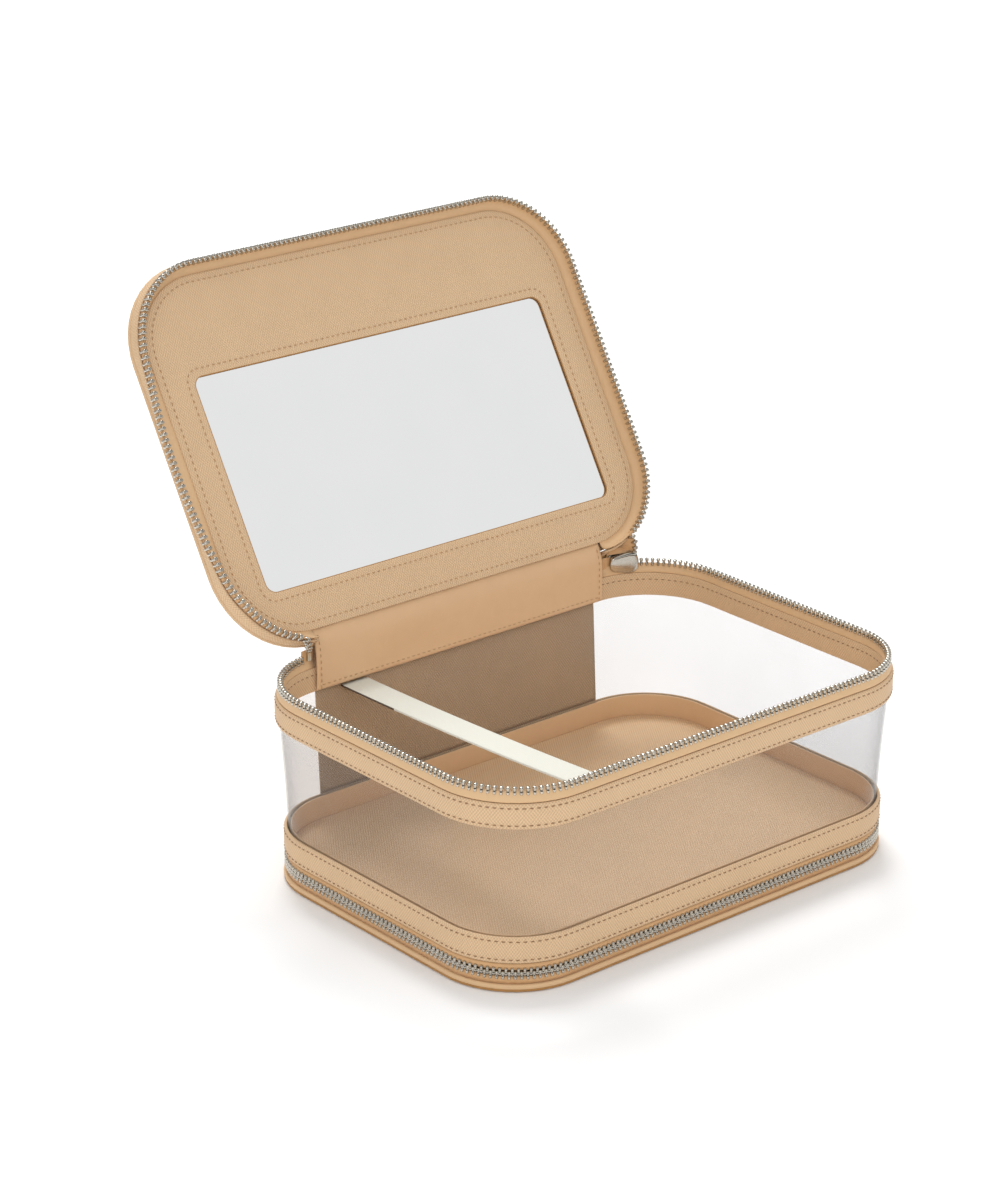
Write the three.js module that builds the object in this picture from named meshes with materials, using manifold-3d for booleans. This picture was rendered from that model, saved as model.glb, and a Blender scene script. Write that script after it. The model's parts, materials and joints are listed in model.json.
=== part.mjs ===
// Soft zipped makeup case: clear walls, leatherette bands, a mirror lid and a shallow bottom compartment.
// Millimetres, +Z up.  The origin is the centre of the base's underside, +X is to the right along the
// long side and +Y points to the hinge at the back.
import * as THREE from 'three';
import { mergeVertices } from 'three/addons/utils/BufferGeometryUtils.js';
import Module from 'manifold-3d';

// ---- driving dimensions -------------------------------------------------------------------------
const WIDTH = 240;              // body, left to right
const DEPTH = 170;              // body, front to back
const CORNER = 36.5;            // corner radius of the body in plan
const CORNER_STEPS = 6;
const GAP = 0.3;                // between neighbouring pieces

const LEATHER = 1.1;            // leatherette, folded
const LINING = 0.7;
const TAPE = 0.8;               // zipper tape
const BOARD = 1.0;              // stiffener board
const VINYL = 0.8;              // clear wall
const TOOTH_THICK = 2.6;        // a zipper row, through the tape
const ROW = 2.7;                // a zipper row, height

// heights of the lower zipper, the bands and the rim
const LOWER_PLANE = 8.0;        // where the two rows of the lower zipper meet
const LOWER_SPLIT = 1.4;        // gap between its rows, room for the slider's post
const LOWER_ROW = 1.9;
const BAND_BOTTOM = 12.6;       // lower band
const BAND_TOP = 24.4;
const UPPER_BOTTOM = 74.2;      // upper band
const UPPER_TOP = 85.4;
const RIM_PLANE = 92.7;         // where the lid's row meets the body's row
const RIM_SPLIT = 0.8;
const FLARE = 2.9;              // how far the upper band stands out past the lower one
const RIM_FLARE = 2.0;          // outer edge of the rim's zipper row

// offsets of the base's and the floor's pieces from the body's outline, outward
const BASE_PANEL_EDGE = 0.4;
const BINDING_EDGE = [0.6, 0.3]; // at its bottom and at its top
const BINDING_WIDTH = 2.4;
const BINDING_HEIGHT = 1.5;
const BASE_BOARD_EDGE = -2.8;
const BASE_LINING_EDGE = -2.9;
const LOWER_TAPE_EDGE = -0.7;
const LOWER_TEETH_EDGE = 0.2;
const HINGE_STRIP_EDGE = 0.3;
const FLOOR_EDGE = -3.8;
const ROOF_RISE = 0.1;          // lower compartment's roof above the zipper's upper row
const FLOOR_BOARD_EDGE = -4.3;

// offsets of the clear wall's outer face behind the lower and the upper band
const WALL_LOW = -1.45;
const WALL_HIGH = 1.4;

// offsets of the rim's linings and of the hinge fabric
const BAND_LINING_EDGE = 0.2;
const GUSSET_EDGE = 1.6;
const HINGE_LINING_EDGE = -1.5;
const HINGE_LINING_DROP = 0.8;  // its hem above the upper band's bottom

// lid, heights above the rim plane
const LID_FLARE = 3.0;          // outer edge of the lid's zipper row
const LID_PANEL = 7.2;          // inner panel
const LID_OPEN = 121.6;         // degrees from closed, as the case stands
const HINGE_Y = DEPTH / 2 - 0.2;
const HINGE_Z = 100.8;
const HINGE_HALF = 84;          // half length of the fabric hinge
const GUSSET_TOP = 94.9;
const ROW_END = 106;            // where a row of the rim stops beside the hinge
const CASE_ROW_END = 88.4;      // where the case's row stops on the left, at the zipper's end stop
const LOWER_ROW_END = 92;

const WINDOW_WIDTH = 199;       // mirror window
const WINDOW_DEPTH = 100;
const WINDOW_CORNER = 5;
const WINDOW_CENTRE = 75.5;     // from the lid's back edge
const PANEL_INSET = 5.5;
const PANEL_THICK = 0.77;
const GLASS_THICK = 1.2;
const GLASS_EDGE = 5;           // glass behind the frame
const LID_TAPE = 1.6;           // height of the tape that shows
const LID_BOARD_EDGE = -1.5;
const LID_TOP_EDGE = 1.2;
const LID_BAND_EDGE = LID_FLARE + 0.1;
const PIPING = 1.15;            // radius
const PIPING_RISE = 0.1;        // its middle above the top panel's underside
const PIPING_DROP = 2.2;        // the side band's top below the top panel

const STRAP_X = -62.5;
const STRAP_WIDTH = 14;
const STRAP_THICK = 0.9;
const STRAP_ENDS = [-DEPTH / 2 + 1.8, DEPTH / 2 - 0.4];
const STRAP_HEIGHTS = [81, 73.8]; // at its front end and at its back end, under the lining's hem
const STRAP_SAG = 1.2;

const SLIDER_LENGTH = 14.4;
const SLIDER_TAIL = 0.76;       // width where the closed chain leaves it, as a share of the mouth
const RIM_MOUTH = 10.4;         // width of the rim slider's mouth
const LOWER_MOUTH = 8.4;
const SLIDER_INSIDE = 3.4;      // between its two plates
const SLIDER_PLATE = 0.9;
const CROWN_RISE = 2.8;         // bridge that holds the pull
const PULL_LENGTH = 24;
const PULL_WIDTH = 7.4;
const PULL_THICK = 1.1;
const PULL_PIVOT = [-1.6, 3.35]; // along the track, outward
const RIM_SLIDER_X = 96.5;
const RIM_SLIDER_Z = 91.0;
const LOWER_SLIDER_Y = 30;
const STOP_LENGTH = 2;
const RIM_STOP_HEIGHT = 4;
const STOP_GAP = 0.4;           // between a row's end and its stop

// ---- colours ------------------------------------------------------------------------------------
const material = (color, roughness, metalness = 0) =>
  new THREE.MeshStandardMaterial({ color, roughness, metalness });
const leatherette = () => material('#d8b58c', 0.55);
const edgePaint = () => material('#9a7148', 0.6);
const tapeCloth = () => material('#cfa87c', 0.85);
const liningCloth = () => material('#d9b084', 0.6);
const metal = () => material('#c9c8c4', 0.22, 1);
const board = () => material('#b9a68c', 0.9);

// ---- shapes -------------------------------------------------------------------------------------
// Points of a rounded rectangle with their outward directions, anticlockwise, starting at the middle
// of the back and ending there.
function outlineStations(width, depth, radius) {
  const stations = [];
  const corners = [[-1, 1], [-1, -1], [1, -1], [1, 1]];
  corners.forEach(([sx, sy], corner) => {
    for (let step = 0; step <= CORNER_STEPS; step++) {
      const angle = Math.PI / 2 * (1 + corner + step / CORNER_STEPS);
      const nx = Math.cos(angle);
      const ny = Math.sin(angle);
      stations.push({
        x: sx * (width / 2 - radius) + radius * nx,
        y: sy * (depth / 2 - radius) + radius * ny,
        nx, ny,
      });
    }
  });
  return stations;
}

// The body's outline at the place on its back edge, or on a back corner, with this x.
function backPlace(x) {
  const past = Math.max(0, Math.abs(x) - (WIDTH / 2 - CORNER));
  const nx = Math.sign(x) * past / CORNER;
  const ny = Math.sqrt(1 - nx * nx);
  return { x, y: DEPTH / 2 - CORNER + CORNER * ny, nx, ny };
}

// The outline as an open run from x = -left to x = +right at the back, so that a row leaves the
// hinge free.
function openStations(left, right) {
  const clear = 1;
  const inside = outlineStations(WIDTH, DEPTH, CORNER)
    .filter(({ x, y }) => y < 0 || x < -left - clear || x > right + clear);
  return [backPlace(-left), ...inside, backPlace(right)];
}

// A straight run along the back, between -half and +half.
const backStations = (half) =>
  [1, -1].map((side) => ({ x: side * half, y: DEPTH / 2, nx: 0, ny: 1 }));

// Sweeps a closed profile of [offset outward, height] points along stations.
function sweep(stations, profile, closed) {
  const positions = [];
  const indices = [];
  const count = profile.length;
  const area = profile.reduce((sum, [a, b], i) => {
    const [c, d] = profile[(i + 1) % count];
    return sum + a * d - c * b;
  }, 0);
  const loop = area < 0 ? profile : [...profile].reverse();
  stations.forEach(({ x, y, nx, ny }) => {
    loop.forEach(([offset, height]) => positions.push(x + nx * offset, y + ny * offset, height));
  });
  const spans = closed ? stations.length : stations.length - 1;
  for (let i = 0; i < spans; i++) {
    const here = i * count;
    const next = ((i + 1) % stations.length) * count;
    for (let j = 0; j < count; j++) {
      const k = (j + 1) % count;
      indices.push(here + j, here + k, next + k, here + j, next + k, next + j);
    }
  }
  if (!closed) {
    const contour = loop.map(([a, b]) => new THREE.Vector2(a, b));
    const last = (stations.length - 1) * count;
    THREE.ShapeUtils.triangulateShape(contour, []).forEach((face) => {
      const turn = THREE.ShapeUtils.area(face.map((i) => contour[i]));
      const [a, b, c] = turn > 0 ? face : [face[0], face[2], face[1]];
      indices.push(a, b, c, last + a, last + c, last + b);
    });
  }
  const geometry = new THREE.BufferGeometry();
  geometry.setAttribute('position', new THREE.Float32BufferAttribute(positions, 3));
  geometry.setIndex(indices);
  geometry.computeVertexNormals();
  return geometry;
}

// An upright strip whose outer face leans from one offset to another.
const strip = (low, high, outerLow, outerHigh, thick) =>
  [[outerLow, low], [outerHigh, high], [outerHigh - thick, high], [outerLow - thick, low]];

const upright = (low, high, outer, thick) => strip(low, high, outer, outer, thick);

// An upright strip with folded, rounded long edges.
const folded = (low, high, outer, thick) => {
  const soft = thick * 0.4;
  return [
    [outer - soft, low], [outer, low + 2 * soft], [outer, high - 2 * soft], [outer - soft, high],
    [outer - thick, high], [outer - thick, low],
  ];
};

const roundProfile = (offset, height, radius, sides) =>
  Array.from({ length: sides }, (_, i) => {
    const angle = Math.PI * 2 * (i + 0.5) / sides;
    return [offset + radius * Math.cos(angle), height + radius * Math.sin(angle)];
  });

function roundedShape(width, depth, radius, centreY = 0) {
  const shape = new THREE.Shape();
  const points = outlineStations(width, depth, radius).map(({ x, y }) => [x, y + centreY]);
  points.forEach(([x, y], i) => (i ? shape.lineTo(x, y) : shape.moveTo(x, y)));
  shape.closePath();
  return shape;
}

// A flat plate of the body's outline, moved in or out by offset.
function plate(offset, low, high, hole = null) {
  const shape = roundedShape(WIDTH + 2 * offset, DEPTH + 2 * offset, CORNER + offset);
  if (hole) shape.holes.push(hole);
  const geometry = new THREE.ExtrudeGeometry(shape, { depth: high - low, bevelEnabled: false });
  geometry.translate(0, 0, low);
  return geometry;
}

function box(x0, x1, y0, y1, z0, z1) {
  const geometry = new THREE.BoxGeometry(x1 - x0, y1 - y0, z1 - z0);
  geometry.translate((x0 + x1) / 2, (y0 + y1) / 2, (z0 + z1) / 2);
  return geometry;
}

const body = outlineStations(WIDTH, DEPTH, CORNER);
const caseRun = openStations(CASE_ROW_END, ROW_END);
const lidRun = openStations(ROW_END, ROW_END);
const lowerRun = openStations(LOWER_ROW_END, LOWER_ROW_END);

const caseGroup = new THREE.Group();
const lidGroup = new THREE.Group();

function add(group, name, geometry, finish) {
  const mesh = new THREE.Mesh(geometry, finish);
  mesh.name = name;
  group.add(mesh);
  return mesh;
}

// ---- base, which rests on the table ------------------------------------------------------------
function makeBase(group) {
  const panelTop = LEATHER;
  const boardLow = panelTop + GAP;
  const liningLow = boardLow + BOARD + GAP;
  const rowTop = LOWER_PLANE - LOWER_SPLIT / 2;
  const rowLow = rowTop - LOWER_ROW;
  const bindingTop = boardLow + BINDING_HEIGHT;
  add(group, 'base_panel', plate(BASE_PANEL_EDGE, 0, panelTop), leatherette());
  add(group, 'base_edge_binding',
    sweep(body, strip(boardLow, bindingTop, ...BINDING_EDGE, BINDING_WIDTH), true), edgePaint());
  add(group, 'base_board', plate(BASE_BOARD_EDGE, boardLow, boardLow + BOARD), board());
  add(group, 'base_lining', plate(BASE_LINING_EDGE, liningLow, liningLow + LINING), liningCloth());
  add(group, 'base_zip_tape',
    sweep(lowerRun, upright(bindingTop + GAP, rowLow - GAP, LOWER_TAPE_EDGE, TAPE), false), tapeCloth());
  add(group, 'base_zip_teeth',
    sweep(lowerRun, upright(rowLow, rowTop, LOWER_TEETH_EDGE, TOOTH_THICK), false), metal());
  add(group, 'base_hinge_strip',
    sweep(backStations(HINGE_HALF), upright(bindingTop + GAP, rowTop, HINGE_STRIP_EDGE, LEATHER), false),
    leatherette());
}

// ---- case: floor, clear walls, bands and rim ---------------------------------------------------
function makeFloor(group) {
  const rowTop = LOWER_PLANE + LOWER_SPLIT / 2 + LOWER_ROW;
  const ceiling = rowTop + ROOF_RISE;
  const boardLow = ceiling + LINING + GAP;
  const floorLow = boardLow + BOARD + GAP;
  add(group, 'compartment_lining', plate(FLOOR_BOARD_EDGE, ceiling, ceiling + LINING), liningCloth());
  add(group, 'floor_board', plate(FLOOR_BOARD_EDGE, boardLow, boardLow + BOARD), board());
  add(group, 'floor_panel', plate(FLOOR_EDGE, floorLow, floorLow + LEATHER), leatherette());
  return floorLow + LEATHER;
}

// The clear wall is upright behind each band and leans out between them.
const wallOuter = (z) => {
  const share = (z - BAND_TOP) / (UPPER_BOTTOM - BAND_TOP);
  return WALL_LOW + (WALL_HIGH - WALL_LOW) * Math.min(1, Math.max(0, share));
};

function makeWalls(group, floorTop) {
  const rowLow = LOWER_PLANE + LOWER_SPLIT / 2;
  const rowTop = rowLow + LOWER_ROW;
  const wallTop = UPPER_TOP - GAP;
  const wallInnerAt = (z) => wallOuter(z) - VINYL;
  add(group, 'lower_zip_teeth',
    sweep(lowerRun, upright(rowLow, rowTop, LOWER_TEETH_EDGE, TOOTH_THICK), false), metal());
  add(group, 'lower_zip_tape',
    sweep(lowerRun, upright(rowTop + GAP, BAND_BOTTOM - GAP, LOWER_TAPE_EDGE, TAPE), false), tapeCloth());
  add(group, 'lower_hinge_strip',
    sweep(backStations(HINGE_HALF), upright(rowLow, BAND_BOTTOM - GAP, HINGE_STRIP_EDGE, LEATHER), false),
    leatherette());
  add(group, 'lower_band', sweep(body, folded(BAND_BOTTOM, BAND_TOP, 0, LEATHER), true), leatherette());
  const wallHeights = [BAND_BOTTOM, BAND_TOP, UPPER_BOTTOM, wallTop];
  const wallProfile = [
    ...wallHeights.map((z) => [wallOuter(z), z]),
    ...wallHeights.map((z) => [wallInnerAt(z), z]).reverse(),
  ];
  add(group, 'clear_wall', sweep(body, wallProfile, true),
    new THREE.MeshStandardMaterial({ color: '#eef1f2', roughness: 0.08, transparent: true, opacity: 0.25 }));
  const liningLow = floorTop + GAP;
  add(group, 'lower_band_lining',
    sweep(body, strip(liningLow, BAND_TOP, wallInnerAt(liningLow) - GAP, wallInnerAt(BAND_TOP) - GAP, LINING),
      true), liningCloth());
  const panelLow = BAND_TOP + GAP;
  const panelTop = UPPER_BOTTOM - GAP;
  add(group, 'back_panel',
    sweep(backStations(HINGE_HALF - 2),
      strip(panelLow, panelTop, wallOuter(panelLow) + GAP + LEATHER, wallOuter(panelTop) + GAP + LEATHER,
        LEATHER), false), leatherette());
  add(group, 'upper_band',
    sweep(body, folded(UPPER_BOTTOM, UPPER_TOP, FLARE, LEATHER), true), leatherette());
}

function makeRim(group) {
  const rowTop = RIM_PLANE - RIM_SPLIT / 2;
  const rowLow = rowTop - ROW;
  const middle = RIM_FLARE - TOOTH_THICK / 2;
  add(group, 'rim_zip_teeth',
    sweep(caseRun, upright(rowLow, rowTop, RIM_FLARE, TOOTH_THICK), false), metal());
  add(group, 'rim_zip_tape',
    sweep(caseRun, upright(UPPER_TOP + GAP, rowLow - GAP, middle + TAPE / 2, TAPE), false), tapeCloth());
  add(group, 'upper_band_lining',
    sweep(body, upright(UPPER_BOTTOM, UPPER_TOP, BAND_LINING_EDGE, LINING), true), leatherette());
  add(group, 'hinge_gusset',
    sweep(backStations(HINGE_HALF), upright(UPPER_TOP + GAP, GUSSET_TOP, GUSSET_EDGE, LEATHER), false),
    leatherette());
  const hem = UPPER_BOTTOM + HINGE_LINING_DROP;
  add(group, 'hinge_lining',
    sweep(backStations(HINGE_HALF), upright(hem, GUSSET_TOP, HINGE_LINING_EDGE, LINING), false),
    liningCloth());
}

// Retaining strap across the compartment, near the left wall, with a shallow sag.
function makeStrap(group) {
  const [front, back] = STRAP_ENDS.map((y, end) => new THREE.Vector2(y, STRAP_HEIGHTS[end]));
  const middle = front.clone().add(back).multiplyScalar(0.5);
  middle.y -= 2 * STRAP_SAG;
  const upper = new THREE.QuadraticBezierCurve(front, middle, back).getPoints(10);
  const shape = new THREE.Shape(upper);
  [...upper].reverse().forEach((point) => shape.lineTo(point.x, point.y - STRAP_THICK));
  const geometry = new THREE.ExtrudeGeometry(shape, { depth: STRAP_WIDTH, bevelEnabled: false });
  // the profile is drawn in (y, z) and extruded along x
  geometry.applyMatrix4(new THREE.Matrix4().set(
    0, 0, 1, STRAP_X - STRAP_WIDTH / 2,
    1, 0, 0, 0,
    0, 1, 0, 0,
    0, 0, 0, 1));
  add(group, 'retaining_strap', geometry, material('#ecebe0', 0.6));
}

// ---- lid, drawn closed and then turned open about the hinge ------------------------------------
function makeLid(group) {
  const rowLow = RIM_PLANE + RIM_SPLIT / 2;
  const rowTop = rowLow + ROW;
  const panelLow = RIM_PLANE + LID_PANEL;
  const panelTop = panelLow + PANEL_THICK;
  const mirrorLow = panelTop + GAP;
  const mirrorTop = mirrorLow + GLASS_THICK;
  const boardLow = mirrorTop + GAP;
  const topLow = boardLow + BOARD + GAP;
  const topHigh = topLow + LEATHER;
  const tapeTop = rowTop + GAP + LID_TAPE;
  const bandLow = tapeTop + GAP;
  const bandTop = topLow - PIPING_DROP;
  const liningOuter = LID_BAND_EDGE - LEATHER - 0.5;
  const middle = LID_FLARE - TOOTH_THICK / 2;
  const backEdge = DEPTH / 2 + LID_FLARE;
  const windowY = backEdge - WINDOW_CENTRE;
  const window = roundedShape(WINDOW_WIDTH, WINDOW_DEPTH, WINDOW_CORNER, windowY);
  const glass = new THREE.ExtrudeGeometry(
    roundedShape(WINDOW_WIDTH + 2 * GLASS_EDGE, WINDOW_DEPTH + 2 * GLASS_EDGE, WINDOW_CORNER, windowY),
    { depth: GLASS_THICK, bevelEnabled: false });
  glass.translate(0, 0, mirrorLow);

  add(group, 'lid_zip_teeth',
    sweep(lidRun, upright(rowLow, rowTop, LID_FLARE, TOOTH_THICK), false), metal());
  add(group, 'lid_zip_tape',
    sweep(lidRun, upright(rowTop + GAP, tapeTop, middle + TAPE / 2, TAPE), false), tapeCloth());
  add(group, 'lid_side_band',
    sweep(lidRun, folded(bandLow, bandTop, LID_BAND_EDGE, LEATHER), false), leatherette());
  add(group, 'lid_side_lining',
    sweep(lidRun, upright(bandLow, panelTop, liningOuter, LINING), false), liningCloth());
  add(group, 'lid_inner_panel', plate(LID_FLARE - PANEL_INSET, panelLow, panelTop, window), leatherette());
  add(group, 'mirror', glass, material('#e4e5e4', 0.03, 1));
  add(group, 'lid_board', plate(LID_BOARD_EDGE, boardLow, boardLow + BOARD), board());
  add(group, 'lid_top_panel', plate(LID_TOP_EDGE, topLow, topHigh), leatherette());
  add(group, 'lid_piping',
    sweep(body, roundProfile(LID_TOP_EDGE + GAP + PIPING, topLow + PIPING_RISE, PIPING, 8), true), leatherette());
}

// ---- zipper sliders, pulls and stops -----------------------------------------------------------
// In a slider's own axes X runs along the track towards its mouth, Y points outward and Z is across.
const wasm = await Module();
wasm.setup();

function solid(geometry) {
  const bare = geometry.clone();
  bare.deleteAttribute('normal');
  bare.deleteAttribute('uv');
  const merged = mergeVertices(bare, 1e-4);
  return new wasm.Manifold(new wasm.Mesh({
    numProp: 3,
    vertProperties: new Float32Array(merged.getAttribute('position').array),
    triVerts: new Uint32Array(merged.getIndex().array),
  }));
}

function joined(geometries) {
  const whole = geometries.map(solid).reduce((sum, next) => sum.add(next));
  const mesh = whole.getMesh();
  const geometry = new THREE.BufferGeometry();
  geometry.setAttribute('position', new THREE.BufferAttribute(mesh.vertProperties, 3));
  geometry.setIndex(new THREE.BufferAttribute(mesh.triVerts, 1));
  geometry.computeVertexNormals();
  return geometry;
}

// Extrudes a shape drawn along the track (x) and across it (y), from one outward height to another.
function flat(shape, low, high) {
  const geometry = new THREE.ExtrudeGeometry(shape, { depth: high - low, bevelEnabled: false, curveSegments: 5 });
  geometry.rotateX(-Math.PI / 2);
  geometry.translate(0, low, 0);
  return geometry;
}

function sliderGeometry(mouthWidth) {
  const half = SLIDER_LENGTH / 2;
  const mouth = mouthWidth / 2;
  const tail = mouth * SLIDER_TAIL;
  const round = 2;
  const outline = new THREE.Shape();
  outline.moveTo(-half, -tail);
  outline.lineTo(half - round, -mouth);
  outline.quadraticCurveTo(half, -mouth, half, -mouth + round);
  outline.lineTo(half, mouth - round);
  outline.quadraticCurveTo(half, mouth, half - round, mouth);
  outline.lineTo(-half, tail);
  outline.closePath();
  const inner = SLIDER_INSIDE / 2;
  const outer = inner + SLIDER_PLATE;
  const crown = new THREE.Shape();
  const reach = 3.6;
  const wall = 1.1;
  const rooted = outer - 0.3;
  crown.moveTo(-reach, rooted);
  crown.lineTo(-reach + wall, rooted);
  crown.lineTo(-reach + wall, outer + CROWN_RISE - wall);
  crown.lineTo(reach - wall, outer + CROWN_RISE - wall);
  crown.lineTo(reach - wall, rooted);
  crown.lineTo(reach, rooted);
  crown.lineTo(reach, outer + CROWN_RISE - wall);
  crown.quadraticCurveTo(reach, outer + CROWN_RISE, reach - wall, outer + CROWN_RISE);
  crown.lineTo(-reach + wall, outer + CROWN_RISE);
  crown.quadraticCurveTo(-reach, outer + CROWN_RISE, -reach, outer + CROWN_RISE - wall);
  const crownWidth = 2.4;
  const bridge = new THREE.ExtrudeGeometry(crown, { depth: crownWidth, bevelEnabled: false, curveSegments: 4 });
  bridge.translate(0, 0, -crownWidth / 2);
  const postHalf = 0.4;
  const postInset = [3.6, 1.6]; // its ends, from the mouth
  const postReach = inner + 0.2;
  return joined([
    flat(outline, -outer, -inner),
    flat(outline, inner, outer),
    box(half - postInset[0], half - postInset[1], -postReach, postReach, -postHalf, postHalf),
    bridge,
  ]);
}

function pullGeometry() {
  const [pivot, height] = PULL_PIVOT;
  const start = pivot + PULL_THICK / 2;
  const half = PULL_WIDTH / 2;
  const eyeHalf = 1.8;
  const eyeLength = 6.8;
  const round = 0.8;
  const end = start - PULL_LENGTH;
  const outline = new THREE.Shape();
  outline.moveTo(start, -half + round);
  outline.lineTo(start, half - round);
  outline.quadraticCurveTo(start, half, start - round, half);
  outline.lineTo(end + half, half);
  outline.absarc(end + half, 0, half, Math.PI / 2, 3 * Math.PI / 2, false);
  outline.lineTo(start - round, -half);
  outline.quadraticCurveTo(start, -half, start, -half + round);
  const eye = new THREE.Path();
  const eyeStart = start - PULL_THICK;
  eye.moveTo(eyeStart, -eyeHalf);
  eye.lineTo(eyeStart - eyeLength, -eyeHalf);
  eye.lineTo(eyeStart - eyeLength, eyeHalf);
  eye.lineTo(eyeStart, eyeHalf);
  eye.closePath();
  outline.holes.push(eye);
  return flat(outline, height - PULL_THICK / 2, height + PULL_THICK / 2);
}

// Stands a slider and its pull on the track: along is the way its mouth faces, outward its face.
function addSlider(prefix, mouthWidth, origin, along, outward) {
  const group = new THREE.Group();
  const across = new THREE.Vector3().crossVectors(along, outward);
  group.applyMatrix4(new THREE.Matrix4().makeBasis(along, outward, across).setPosition(origin));
  add(group, `${prefix}_slider`, sliderGeometry(mouthWidth), metal());
  add(group, `${prefix}_pull`, pullGeometry(), metal());
  return group;
}

function rimSliderPlace() {
  const { x, y, nx, ny } = backPlace(RIM_SLIDER_X);
  const outset = RIM_FLARE - TOOTH_THICK / 2;
  return {
    origin: new THREE.Vector3(x + nx * outset, y + ny * outset, RIM_SLIDER_Z),
    along: new THREE.Vector3(ny, -nx, 0),
    outward: new THREE.Vector3(nx, ny, 0),
  };
}

// A stop is a short clamp of a row's own section, just past the row's end. side is -1 on the left.
function stopGeometry(side, rowEnd, low, high, outer) {
  const near = rowEnd - STOP_GAP;
  const ends = [backPlace(side * near), backPlace(side * (near - STOP_LENGTH))];
  return sweep(side > 0 ? ends : ends.reverse(), upright(low, high, outer, TOOTH_THICK), false);
}

// The rim's one stop holds both rows together, and stays with the case.
function addStops(baseGroup, middleGroup) {
  const rimLow = RIM_PLANE - RIM_SPLIT / 2 - ROW;
  const lowerHalf = LOWER_SPLIT / 2;
  add(middleGroup, 'rim_stop', stopGeometry(-1, CASE_ROW_END, rimLow, rimLow + RIM_STOP_HEIGHT, RIM_FLARE), metal());
  add(baseGroup, 'lower_stop_base',
    stopGeometry(1, LOWER_ROW_END, LOWER_PLANE - lowerHalf - LOWER_ROW, LOWER_PLANE - lowerHalf,
      LOWER_TEETH_EDGE), metal());
  add(middleGroup, 'lower_stop_case',
    stopGeometry(1, LOWER_ROW_END, LOWER_PLANE + lowerHalf, LOWER_PLANE + lowerHalf + LOWER_ROW,
      LOWER_TEETH_EDGE), metal());
}

const product = new THREE.Group();
makeBase(product);
const floorTop = makeFloor(caseGroup);
makeWalls(caseGroup, floorTop);
makeRim(caseGroup);
makeStrap(caseGroup);
makeLid(lidGroup);
addStops(product, caseGroup);
const rimSlider = rimSliderPlace();
caseGroup.add(addSlider('rim', RIM_MOUTH, rimSlider.origin, rimSlider.along, rimSlider.outward));
caseGroup.add(addSlider('lower', LOWER_MOUTH,
  new THREE.Vector3(WIDTH / 2 + LOWER_TEETH_EDGE - TOOTH_THICK / 2, LOWER_SLIDER_Y, LOWER_PLANE),
  new THREE.Vector3(0, 1, 0), new THREE.Vector3(1, 0, 0)));

const lidPivot = new THREE.Group();
lidPivot.position.set(0, HINGE_Y, HINGE_Z);
lidPivot.rotation.x = -THREE.MathUtils.degToRad(LID_OPEN);
lidGroup.position.set(0, -HINGE_Y, -HINGE_Z);
lidPivot.add(lidGroup);
caseGroup.add(lidPivot);
product.add(caseGroup);

export default product;
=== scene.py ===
"""Looks of a clear zipped makeup case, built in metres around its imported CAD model."""

import json
import math

import bmesh
import bpy
import numpy as np
from mathutils import Matrix, Vector


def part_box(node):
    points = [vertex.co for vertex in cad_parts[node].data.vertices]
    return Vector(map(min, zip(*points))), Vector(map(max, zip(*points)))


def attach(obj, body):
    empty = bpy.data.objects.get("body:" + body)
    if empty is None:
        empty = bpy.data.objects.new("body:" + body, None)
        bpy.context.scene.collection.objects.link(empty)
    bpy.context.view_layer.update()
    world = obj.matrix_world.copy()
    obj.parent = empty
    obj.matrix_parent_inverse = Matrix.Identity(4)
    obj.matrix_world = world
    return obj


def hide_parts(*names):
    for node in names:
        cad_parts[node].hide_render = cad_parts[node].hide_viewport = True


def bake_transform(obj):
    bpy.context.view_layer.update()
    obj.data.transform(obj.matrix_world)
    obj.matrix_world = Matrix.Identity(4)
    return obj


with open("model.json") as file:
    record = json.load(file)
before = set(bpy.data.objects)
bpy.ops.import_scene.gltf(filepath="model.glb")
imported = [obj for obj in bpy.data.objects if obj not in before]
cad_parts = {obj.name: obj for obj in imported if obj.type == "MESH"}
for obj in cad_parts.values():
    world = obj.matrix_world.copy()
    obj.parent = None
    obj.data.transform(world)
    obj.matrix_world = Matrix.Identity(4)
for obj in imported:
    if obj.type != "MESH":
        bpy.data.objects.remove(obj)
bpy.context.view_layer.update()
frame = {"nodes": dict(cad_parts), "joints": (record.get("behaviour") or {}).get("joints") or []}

# ---- driving values ----
MM = 0.001
CORNER = 36.5 * MM  # corner radius of the body in plan
TOOTH_PITCH = 2.62 * MM
STITCH_PITCH = 3.0 * MM
STITCH_LENGTH = 1.65 * MM
STITCH_RADIUS = 0.22 * MM
LEATHER = 1.1 * MM
CLOTH = 0.7 * MM
TAPE = 0.7 * MM
LEG_OVERLAP = 0.7 * MM  # how much further the rim teeth's legs reach over their tape than in CAD
TOOTH_MIDDLE = 1.3 * MM  # how far a row's middle is inside its outer face
BACK_END = 84.5 * MM  # where the side pieces of the rim and the lid end on the back

joints = {joint["name"]: joint for joint in frame["joints"]}
hinge = Vector(joints["lid_hinge"]["pos_m"])
opening = math.radians(joints["lid_hinge"]["range_deg"][1])
OPEN_LID = Matrix.Translation(hinge) @ Matrix.Rotation(-opening, 4, "X") @ Matrix.Translation(-hinge)
CLOSE_LID = OPEN_LID.inverted()


def box(node):
    """Lowest and highest corner of a CAD node, as arrays."""
    return [np.array(corner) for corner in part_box(node)]


def closed_box(node):
    """The same for a node of the lid, with the lid shut."""
    spots = np.array([CLOSE_LID @ v.co for v in frame["nodes"][node].data.vertices])
    return spots.min(0), spots.max(0)


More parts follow.
